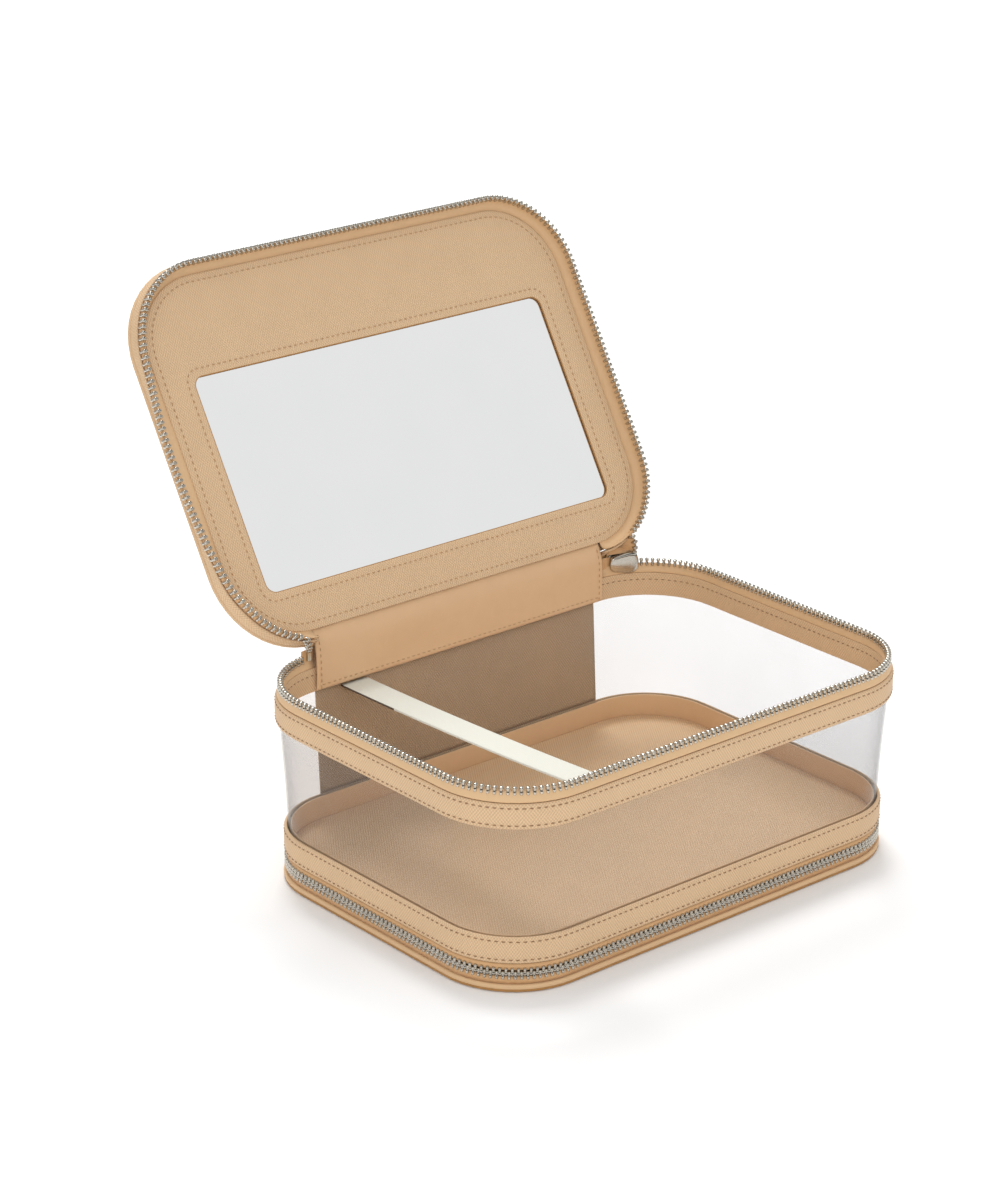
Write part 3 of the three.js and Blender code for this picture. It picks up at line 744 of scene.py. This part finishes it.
def make_rim_rows():
    slider_side = 102.6 * MM  # where the row ends on the right, just past the slider
    ends = open_run(-box("rim_stop")[0][0] + 0.4 * MM, slider_side)
    offset, low, high = levels("rim_zip_teeth")
    row = teeth_row("rim_zipper_teeth", offset, low - LEG_OVERLAP, high, ends)
    place(row, "case", "zipper_metal", "rim_zip_teeth")
    tape_ends = open_run(BACK_END, BACK_END)
    outer, bottom, top = levels("rim_zip_tape")
    seam = levels("upper_band")[0] - 0.45 * MM
    inner = levels("upper_band_lining")[0] - CLOTH
    profile = [(outer, top + 0.8 * MM), (outer + 0.5 * MM, top - 0.8 * MM),
               (seam - 0.3 * MM, top - 2.2 * MM), (seam, bottom + 0.4 * MM),
               (seam - 0.5 * MM, bottom - 0.25 * MM), (inner, bottom - 0.25 * MM),
               (inner + 0.25 * MM, bottom + 1.4 * MM), (outer - TAPE, top - 0.6 * MM),
               (outer - TAPE, top + 0.8 * MM)]
    place(sweep("rim_zipper_tape", BODY, round_corners(profile, 0.6 * MM), RIM_CLOTH, tape_ends), "case",
          "zipper_tape", "rim_zip_tape")
    near, far = BODY.from_back(83.6 * MM), BODY.from_back(90.5 * MM)
    for name, stub_ends in (("left", (near, far)), ("right", (BODY.length - far, BODY.length - near))):
        profile = folded(outer, outer - TAPE, top - 1.2 * MM, top + 5.2 * MM, 0.2 * MM)
        place(sweep(f"zipper_end_tape_{name}", BODY, profile, TAPE_CLOTH, stub_ends), "case", "zipper_tape")
    ends = open_run(LID_LEFT, LID_RIGHT)
    offset, low, high = levels("lid_zip_teeth", True)
    row = teeth_row("lid_zipper_teeth", offset, high + LEG_OVERLAP, low, ends, bend=lid_bow)
    place(row, "lid", "zipper_metal", "lid_zip_teeth")
    place(flat_tape("lid_zipper_tape", "lid_zip_tape", high - 1.1 * MM, ends, True, lid_bow),
          "lid", "zipper_tape", "lid_zip_tape")


def smooth_line(points, count):
    """Evenly spaced points on a smooth curve through a few."""
    points = np.asarray(points, float)
    t = distances(points)
    slope = np.gradient(points, t, axis=0)
    at = np.linspace(0, t[-1], count)
    k = np.clip(np.searchsorted(t, at, side="right") - 1, 0, len(t) - 2)
    span = (t[k + 1] - t[k])[:, None]
    f = (at - t[k])[:, None] / span
    return (points[k] * (2 * f ** 3 - 3 * f ** 2 + 1) + points[k + 1] * (3 * f ** 2 - 2 * f ** 3)
            + slope[k] * span * (f ** 3 - 2 * f ** 2 + f) + slope[k + 1] * span * (f ** 3 - f ** 2))


def turned(vector):
    """A direction of the shut lid, once the lid is open."""
    return np.array(OPEN_LID.to_3x3() @ Vector(vector))


def opened(point):
    return np.array(OPEN_LID @ Vector(point))


def hang(piece):
    """Bakes a piece's transform into its mesh."""
    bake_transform(piece)


def make_row_tail(side, lid_x, target):
    """The end of the lid's row, which leaves the lid's edge and comes down to the case."""
    offset, low, high = levels("lid_zip_teeth", True)
    overlap = 4 * MM  # this much of it still follows the lid
    s = BODY.from_back(lid_x)
    s = s if side < 0 else BODY.length - s
    spots, _ = on_body(np.array([s - side * overlap, s]), offset - TOOTH_MIDDLE, high, lid_bow)
    on_lid = [opened(spot) for spot in spots]
    bend_point = on_lid[1] * 0.45 + target * 0.55 + np.array([0, -1.2 * MM, 0.6 * MM])
    line = smooth_line([on_lid[0], on_lid[1], bend_point, target], 80)
    s = distances(line)
    first = overlap + TOOTH_PITCH * 0.6
    at = first + TOOTH_PITCH * np.arange(int((s[-1] - first) // TOOTH_PITCH) + 1)
    share = np.clip((s - overlap) / (s[-1] - overlap), 0, 1)[:, None]
    tangent = unit(np.gradient(line, axis=0))
    ups = turned((0, 0, -1)) * (1 - share) + np.array([0.0, -0.35, -1.0]) * share
    ups = square_to(ups, tangent)
    out = np.cross(ups, tangent)
    shape, faces = tooth_shape(high - low + LEG_OVERLAP)
    shape = shape - [0, 0, LEG_OVERLAP]
    name = "left" if side < 0 else "right"
    row = scatter(f"lid_row_tail_{name}", pick(line, s, at), (pick(tangent, s, at), pick(out, s, at)),
                  pick(ups, s, at), shape, faces, METAL)
    width = np.linspace(6.5, 4.0, len(line))[:, None] * MM
    thick = out * TAPE / 2
    near, far = line + ups * 0.9 * MM, line - ups * width
    if side > 0:  # here the tape also closes the corner between the lid and the slider
        corner = target + np.array([-15.5, 1.0, 1.0]) * MM
        bulge = np.array([-1.5, 0, 1.2]) * MM * np.sin(math.pi * share)
        far = far * (1 - share) + corner * share + bulge
    grid = np.stack([near + thick, far + thick, far - thick, near - thick], 1)
    v = np.array([0, 7.5, 8.2, 15.7, 16.4]) * MM
    tape = grid_piece(f"lid_tape_tail_{name}", grid, TAPE_CLOTH, s, v)
    for piece, slot in ((row, "zipper_metal"), (tape, "zipper_tape")):
        hang(piece)


# ---- fabric hinges ----
def hinge_cloth(name, half, line, thick, material, hem, ripple):
    """A strip across the back whose section is a smooth line of (y, z) points, the lower end first.
    Its side edges and lower edge are hemmed, and it ripples a little. Gives the piece, and where its
    inner face is at any share across and along it."""
    line = smooth_line(line, 46)
    s = distances(line)
    tangent = unit(np.gradient(line, axis=0))
    inward = np.stack([-tangent[:, 1], tangent[:, 0]], 1)
    edges = np.array([0, 0.25, 0.6, 1.0, 2.2, 2.6, 3.2]) * MM
    inside = np.linspace(-half + 6 * MM, half - 6 * MM, 70)
    x = np.concatenate([-half + edges, inside, (half - edges)[::-1]])[:, None]
    from_edge = np.minimum(half - np.abs(x), s)
    hemmed = np.clip((hem + 0.3 * MM - from_edge) / (0.5 * MM), 0, 1) * (0.45 * MM if hem else 0)
    rounded = np.sqrt(np.clip(1 - (1 - np.clip(from_edge / (0.5 * MM), 0, 1)) ** 2, 0, 1))
    half_thick = (thick / 2 + hemmed / 2) * (0.25 + 0.75 * rounded)
    calm = np.clip(np.minimum(s, s[-1] - s) / (6 * MM), 0, 1)
    wave = (np.sin(x * 61 + 0.7) * np.sin(s * 230) + 0.6 * np.sin(x * 143 + 2.0) * np.cos(s * 120)
            + 0.5 * np.sin(x * 260))
    shift = ripple * wave * calm
    inner, outer = [(x, line[:, 0] + inward[:, 0] * move, line[:, 1] + inward[:, 1] * move)
                    for move in (shift + half_thick, shift - half_thick)]
    v = np.concatenate([s, s[-1] + s + thick, [2 * s[-1] + 2 * thick]])
    piece = grid_piece(name, two_sided(inner, outer), material, x.ravel(), v)
    return piece, grid_of(*inner), x, s, inward


def make_lid_hinge():
    low, high = box("hinge_lining")
    y, bottom, half = (low[1] + high[1]) / 2, low[2], high[0]
    panel_high = closed_box("lid_inner_panel")[1]
    held = [opened((0, panel_high[1] - d, panel_high[2] + 0.9 * MM))[1:] for d in (0.5 * MM, 6.5 * MM)]
    axis_y, axis_z = hinge[1], hinge[2]
    line = [(y, bottom), (y, bottom + 9 * MM), (y + 0.1 * MM, bottom + 16 * MM),
            (axis_y - 0.8 * MM, axis_z - 4.3 * MM), (axis_y + 0.6 * MM, axis_z - 0.6 * MM), *held]
    cloth, face, x, s, inward = hinge_cloth("hinge_inner_lining", half, line, 0.5 * MM, LINING, 2.6 * MM,
                                            0.16 * MM)
    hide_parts("hinge_lining")
    hang(cloth)
    inset = 2.3 * MM  # of its sewn row from the edges
    column, row, top = nearest(x, inset - half), nearest(s, inset), nearest(s, s[-1] - 7.5 * MM)
    down = np.tile([0, -1.0, 0], (len(x) - 2 * column, 1))
    out = np.column_stack([np.zeros(top), inward[:top]])
    for side, points, normals in (
            ("bottom", face[column:-column, row], down), ("left", face[column, :top], out),
            ("right", face[-1 - column, :top], out)):
        seam = sew(f"hinge_lining_stitches_{side}", points, normals, THREAD_LIGHT)
        hang(seam)

    low, high = box("hinge_gusset")
    y = (low[1] + high[1]) / 2
    piping_low, piping_high = closed_box("lid_piping")
    radius = (piping_high[2] - piping_low[2]) / 2
    cord = opened((0, piping_high[1] - radius, piping_high[2] - radius))
    line = [(y, low[2] - 1.5 * MM), (y + 0.5 * MM, low[2] + 1.5 * MM), (y + 1.5 * MM, low[2] + 5 * MM),
            (y + 1.2 * MM, high[2] - 1.2 * MM), (cord[1] + 0.4 * MM, cord[2] - radius + 0.2 * MM)]
    gusset, _, _, s, _ = hinge_cloth("hinge_outer_gusset", half, line, 0.8 * MM, LEATHERETTE, 0, 0.1 * MM)
    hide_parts("hinge_gusset")
    hang(gusset)

    stop_low, stop_high = box("rim_stop")
    slider_low, slider_high = box("rim_slider")
    make_row_tail(-1, LID_LEFT,
                  np.array([stop_low[0] + 1.0 * MM, axis_y + 0.2 * MM, stop_high[2] + 1.6 * MM]))
    make_row_tail(1, LID_RIGHT, np.array([slider_high[0], slider_low[1], slider_high[2]])
                  + np.array([-2.2, 3.9, -0.4]) * MM)


def make_bottom_hinge():
    low, high = box("base_hinge_strip")
    top = box("lower_hinge_strip")[1][2]
    y, level = (low[1] + high[1]) / 2, joints["bottom_hinge"]["pos_m"][2]
    half = high[0] + 5.2 * MM  # it reaches over the ends of the lower zipper
    tuck = 1.0 * MM  # sewn in under the binding and the band
    line = [(y, low[2] - tuck), (y + 0.1 * MM, low[2] + 2 * MM), (y + 0.35 * MM, level),
            (y + 0.1 * MM, top - 2 * MM), (y, top + tuck)]
    strip_piece, _, _, s, _ = hinge_cloth("bottom_hinge_strip", half, line, 0.9 * MM, LEATHERETTE, 0,
                                          0.05 * MM)
    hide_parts("base_hinge_strip", "lower_hinge_strip")
    hang(strip_piece)


# ---- lid ----
def shut_track(node):
    """The outline of a panel of the lid."""
    low, high = closed_box(node)
    return Track(high[0] - low[0], high[1] - low[1], CORNER + high[0] - BODY.half[0])


def framed_panel(name, track, low, high, hole, material):
    """A sewn panel round a hole, by which its edge is folded under."""
    s = track.stations()
    outer, _ = track.at(s)
    # the hole's points are the ones that the same share of each side and corner reaches
    share = np.interp(s, track.edges, np.arange(10))
    inner, out = hole.at(np.interp(share, np.arange(10), hole.edges))
    fold = (high - low) / 2
    rings = [(inner - out * fold * (math.cos(angle) - 1), low + fold + fold * math.sin(angle))
             for angle in np.linspace(-math.pi / 2, math.pi / 2, 7)]
    face = [0.03, 0.08, 0.2, 0.4, 0.6, 0.8, 0.92, 0.98]
    rings += [(inner + (outer - inner) * f, high) for f in face] + [(outer, high), (outer, low)]
    rings += [(inner + (outer - inner) * f, low - 0.25 * MM * math.sin(math.pi * f) ** 0.5)
              for f in face[::-1]]
    return ring_piece(name, rings, material, True)


def make_lid():
    low, high = closed_box("lid_top_panel")
    place(plate("lid_outer_panel", shut_track("lid_top_panel"), low[2], high[2], LEATHERETTE, 0.5 * MM),
          "lid", "leatherette", "lid_top_panel")
    low, high = closed_box("lid_piping")
    radius = (high[2] - low[2]) / 2
    profile = circle(high[0] - BODY.half[0] - radius, (low[2] + high[2]) / 2, radius * 1.04)
    place(sweep("lid_piping_cord", BODY, profile, LEATHERETTE), "lid", "leatherette", "lid_piping")
    ends = open_run(BACK_END, BACK_END)
    offset, low, high = levels("lid_side_band", True)
    tape_top = levels("lid_zip_tape", True)[2]
    profile = strip(tape_top - 0.3 * MM, high + 1.6 * MM, offset, [tape_top + 1.2 * MM], 0.15 * MM)
    place(sweep("lid_side_panel", BODY, profile, LEATHERETTE, ends, lid_bow), "lid", "leatherette",
          "lid_side_band")
    panel_low, panel_high = closed_box("lid_inner_panel")
    edge = panel_high[0] - BODY.half[0]
    offset, low, high = levels("lid_side_lining", True)
    tape_outer, tape_low = levels("lid_zip_tape", True)[:2]
    near = [(tape_outer - TAPE - 0.1 * MM, tape_low - 0.5 * MM),
            (tape_outer - TAPE - 0.2 * MM, low - 0.6 * MM),
            (offset - CLOTH - 0.2 * MM, low + 0.9 * MM), (edge + 1.6 * MM, panel_low[2] + 0.2 * MM),
            (edge - 0.6 * MM, panel_low[2] + 0.35 * MM)]
    far = [(x + 0.35 * MM, z + 0.45 * MM) for x, z in near[::-1]]
    far[-1] = (near[0][0] + 0.45 * MM, near[0][1])
    profile = np.vstack([smooth_line(near, 14), smooth_line(far, 14)])
    place(sweep("lid_side_inner_lining", BODY, profile, RIM_CLOTH, ends, lid_bow), "lid",
          "lining", "lid_side_lining")
    track = shut_track("lid_inner_panel")
    glass_low, glass_high = closed_box("mirror")
    lip = 5.0 * MM
    width, depth = (glass_high - glass_low)[:2] - 2 * lip
    centre = (glass_low[1] + glass_high[1]) / 2
    hole = Track(width, depth, 5 * MM, centre)
    low, high = panel_low, panel_high
    place(framed_panel("lid_mirror_frame", track, low[2], high[2], hole, LEATHERETTE), "lid", "leatherette",
          "lid_inner_panel")
    for name, outline in (("window", Track(width + 7.2 * MM, depth + 7.2 * MM, 7 * MM, centre)),
                          ("frame_edge", track.widened(-3.4 * MM))):
        s = np.linspace(0, outline.length, 3000)
        points = np.column_stack([outline.at(s)[0], np.full(len(s), low[2] - 0.2 * MM)])
        down = np.tile([0.0, 0.0, -1.0], (len(s), 1))
        place(sew(f"lid_{name}_stitches", points, down, THREAD_LIGHT), "lid", "edge_paint")
    profile = folded(-0.25 * MM, 0.3 * MM, low[2] + 0.1 * MM, high[2], 0.15 * MM)
    place(sweep("lid_window_edge", hole, profile, EDGE), "lid", "edge_paint")


def make_strap():
    low, high = box("retaining_strap")
    centre, half = (low[0] + high[0]) / 2, (high[0] - low[0]) / 2
    spots = np.array([v.co for v in frame["nodes"]["retaining_strap"].data.vertices])
    ends = [spots[np.abs(spots[:, 1] - y) < 0.1 * MM][:, 2].mean() for y in (low[1], high[1])]
    t = np.linspace(0, 1, 60)
    sag = 1.3 * MM
    y = low[1] + (high[1] - low[1]) * t
    middle = ends[0] + (ends[1] - ends[0]) * t - 4 * sag * t * (1 - t)
    thick = 0.6 * MM
    across = round_corners([(-half, -thick), (half, -thick), (half, thick), (-half, thick)], 0.5 * MM)
    across = clockwise(across)
    wide, deep = across.T
    grid = grid_of(centre + wide, y[:, None], middle[:, None] + deep - 0.3 * MM * (1 - (wide / half) ** 2))
    strap = grid_piece("cream_strap", grid, STRAP, y, lengths(across))
    place(strap, "case", "strap", "retaining_strap")
    shaded_points = 14  # the last points, at the back, where both edges get a dark painted shade for the strap's shadowed underside
    angle = -math.pi * np.arange(8) / 4
    # thin dark rods along both edges: painted shade for the strap's shadowed underside
    for name, side in (("left", -1), ("right", 1)):
        x = centre + side * (half - 0.1 * MM) + 0.28 * MM * np.cos(angle)
        z = (middle - 0.1 * MM)[-shaded_points:, None] + 0.5 * MM * np.sin(angle)
        edge = grid_piece(f"strap_shade_edge_{name}", grid_of(x, y[-shaded_points:, None], z), STRAP_SHADE_EDGE, y[-shaded_points:],
                          np.arange(9) * 0.3 * MM)
        place(edge, "case", "edge_paint")


# ---- sliders ----
PLATE_GAP, PLATE_THICK, FLANGE = 3.5 * MM, 0.8 * MM, 0.95 * MM  # between plates, plate, rolled edge


def slider_plate(half, mouth, side):
    """One plate, in the slider's own axes: X to its mouth, Y outward and Z across. Its ends are
    rounded and its long edges are rolled towards the chain."""
    x = -half * np.cos(np.linspace(0, math.pi, 29))[:, None]
    width = mouth / 2 * (0.78 + 0.22 * smoothstep((x + half) / (2 * half), 0.1, 0.7))
    width *= (1 - np.abs(x / half) ** 7) ** 0.4 * 0.97 + 0.03
    v = np.linspace(-1, 1, 25)
    roll = FLANGE * np.clip((np.abs(v) - 0.72) / 0.28, 0, 1) ** 1.7
    dome = 0.25 * MM * (1 - v ** 2)
    inner = PLATE_GAP / 2 + dome - roll - 0.35 * MM * np.abs(x / half) ** 6
    return loft(two_sided((x, side * (inner + PLATE_THICK), width * v), (x, side * inner, width * v)))


def slider_arch(half):
    """The bridge that holds the pull, on the outer plate."""
    foot = PLATE_GAP / 2 + PLATE_THICK * 0.4
    path = np.array([(-half * math.cos(t), foot + 3.1 * MM * math.sin(t) ** 0.6)
                     for t in np.linspace(0, math.pi, 17)])
    tangent = unit(np.gradient(path, axis=0))
    out = np.stack([-tangent[:, 1], tangent[:, 0]], 1)
    angle = -np.arange(10) * math.pi / 5
    thick, wide = 0.45 * MM * np.cos(angle), 1.25 * MM * np.sin(angle)
    spots = path[:, None] + out[:, None] * thick[:, None]
    return loft(grid_of(spots[:, :, 0], spots[:, :, 1], wide))


def make_slider(name, node, body, origin, along, outward):
    """A slider of two domed plates, its post and its bridge, where the CAD slider is."""
    low, high = box(node)
    mouth = high[2] - low[2]
    half = 7.0 * MM
    pieces = [slider_plate(half, mouth, 1), slider_plate(half, mouth, -1), slider_arch(3.5 * MM)]
    pillar = PLATE_GAP / 2 + 0.1 * MM
    post = [[(half - 2.6 * MM + 0.9 * MM * math.cos(a), y, 0.4 * MM * math.sin(a))
             for a in np.arange(8) * math.pi / 4] for y in (-pillar, pillar)]
    pieces.append(loft(post))
    points, faces = [], []
    for spots, polygons in pieces:
        start = sum(len(p) for p in points)
        points.append(spots)
        faces += [[start + k for k in polygon] for polygon in polygons]
    axes = np.array([along, outward, np.cross(along, outward)])
    slider = make_piece(name, np.array(origin) + np.vstack(points) @ axes, faces, METAL)
    place(slider, body, "zipper_metal", node)


def make_sliders():
    low, high = box("rim_slider")
    point, normal = BODY.at([BODY.length - BODY.from_back((low[0] + high[0]) / 2)])
    outward = np.array([*normal[0], 0])
    depth = levels("rim_zip_teeth")[0] - TOOTH_MIDDLE
    origin = np.array([*point[0], (low[2] + high[2]) / 2]) + outward * depth
    make_slider("rim_zipper_slider", "rim_slider", "case", origin, (outward[1], -outward[0], 0), outward)
    low, high = box("lower_slider")
    x = BODY.half[0] + levels("base_zip_teeth")[0] - TOOTH_MIDDLE
    make_slider("lower_zipper_slider", "lower_slider", "lower_slider_unit",
                (x, (low[1] + high[1]) / 2, (low[2] + high[2]) / 2), (0, 1, 0), (1, 0, 0))


def finish_carried_nodes():
    """CAD pieces whose shape is right get their material and softened edges."""
    for name in ("rim_pull", "lower_pull", "rim_stop", "lower_stop_base", "lower_stop_case"):
        paint(name, METAL)
        bevel = frame["nodes"][name].modifiers.new("edge", "BEVEL")
        bevel.width, bevel.segments, bevel.use_clamp_overlap = 0.3 * MM, 3, True
        bevel.limit_method, bevel.angle_limit = "ANGLE", math.radians(40)
    for name in ("base_board", "floor_board", "lid_board"):
        paint(name, BOARD)
    paint("mirror", GLASS)


def paint(name, material):
    mesh = frame["nodes"][name].data
    mesh.materials.clear()
    mesh.materials.append(material)


# ---- floor, light and camera ----
def make_stage():
    bpy.ops.mesh.primitive_plane_add(size=14, location=(0, 3, -0.0004))
    floor = bpy.context.object
    floor.name = "studio_floor"
    floor.data.materials.append(start_material(
        "studio_floor", Base_Color=(0.93, 0.93, 0.93, 1), Roughness=0.9, Specular_IOR_Level=0.1)[0])
    world = bpy.data.worlds.new("studio")
    world.use_nodes = True
    tree = world.node_tree
    tree.nodes["Background"].inputs["Strength"].default_value = 0.82
    # polished metal sees dark cards between the bright ones, and all else is lit by plain white
    height = node(tree, "SeparateXYZ", {0: node(tree, "TexCoord")}, output=2)
    ramp = tree.nodes.new("ShaderNodeValToRGB")
    tree.links.new(height, ramp.inputs[0])
    cards = [(0.0, 0.9), (0.03, 0.06), (0.27, 0.06), (0.33, 1.0), (0.62, 1.0), (0.67, 0.06), (0.80, 0.06),
             (0.86, 1.0)]
    while len(ramp.color_ramp.elements) < len(cards):
        ramp.color_ramp.elements.new(1.0)
    for element, (spot, level) in zip(ramp.color_ramp.elements, cards):
        element.position = spot
        element.color = (level, level, level, 1)
    glossy = node(tree, "LightPath", output=3)
    white = (1.0, 1.0, 1.0, 1)
    shade = node(tree, "Mix", {"Factor": glossy, "A": white, "B": ramp.outputs[0]}, output=2,
                 data_type="RGBA")
    tree.links.new(shade, tree.nodes["Background"].inputs["Color"])
    bpy.context.scene.world = world
    for name, spot, size, power in (("key", (0.75, 1.3, 2.1), 1.0, 36),
                                    ("fill", (-1.6, -1.5, 1.5), 1.6, 12)):
        light = bpy.data.lights.new(name, "AREA")
        light.size = size
        light.energy = power
        lamp = bpy.data.objects.new(name, light)
        lamp.location = spot
        lamp.rotation_euler = (Vector((0, 0, 0.08)) - Vector(spot)).to_track_quat("-Z", "Y").to_euler()
        bpy.context.scene.collection.objects.link(lamp)


def make_camera():
    azimuth, elevation, roll = math.radians(-40.73), math.radians(21.56), math.radians(0.34)
    target, distance = Vector((-0.0503, 0, 0.1344)), 1.4235
    camera = bpy.data.objects.new("camera", bpy.data.cameras.new("camera"))
    camera.data.sensor_width = 36
    camera.data.lens = 101.77
    camera.matrix_world = (
        Matrix.Translation(target) @ Matrix.Rotation(azimuth, 4, "Z")
        @ Matrix.Rotation(math.pi / 2 - elevation, 4, "X") @ Matrix.Rotation(roll, 4, "Z")
        @ Matrix.Translation((0, 0, distance)))
    bpy.context.scene.collection.objects.link(camera)
    bpy.context.scene.camera = camera
    bpy.context.scene.view_settings.view_transform = "Standard"


make_camera()
make_stage()
make_base()
make_lower_zipper()
make_floor()
make_bands()
make_walls()
make_back_panel()
make_rim_rows()
make_lid_hinge()
make_bottom_hinge()
make_lid()
make_strap()
make_sliders()
finish_carried_nodes()
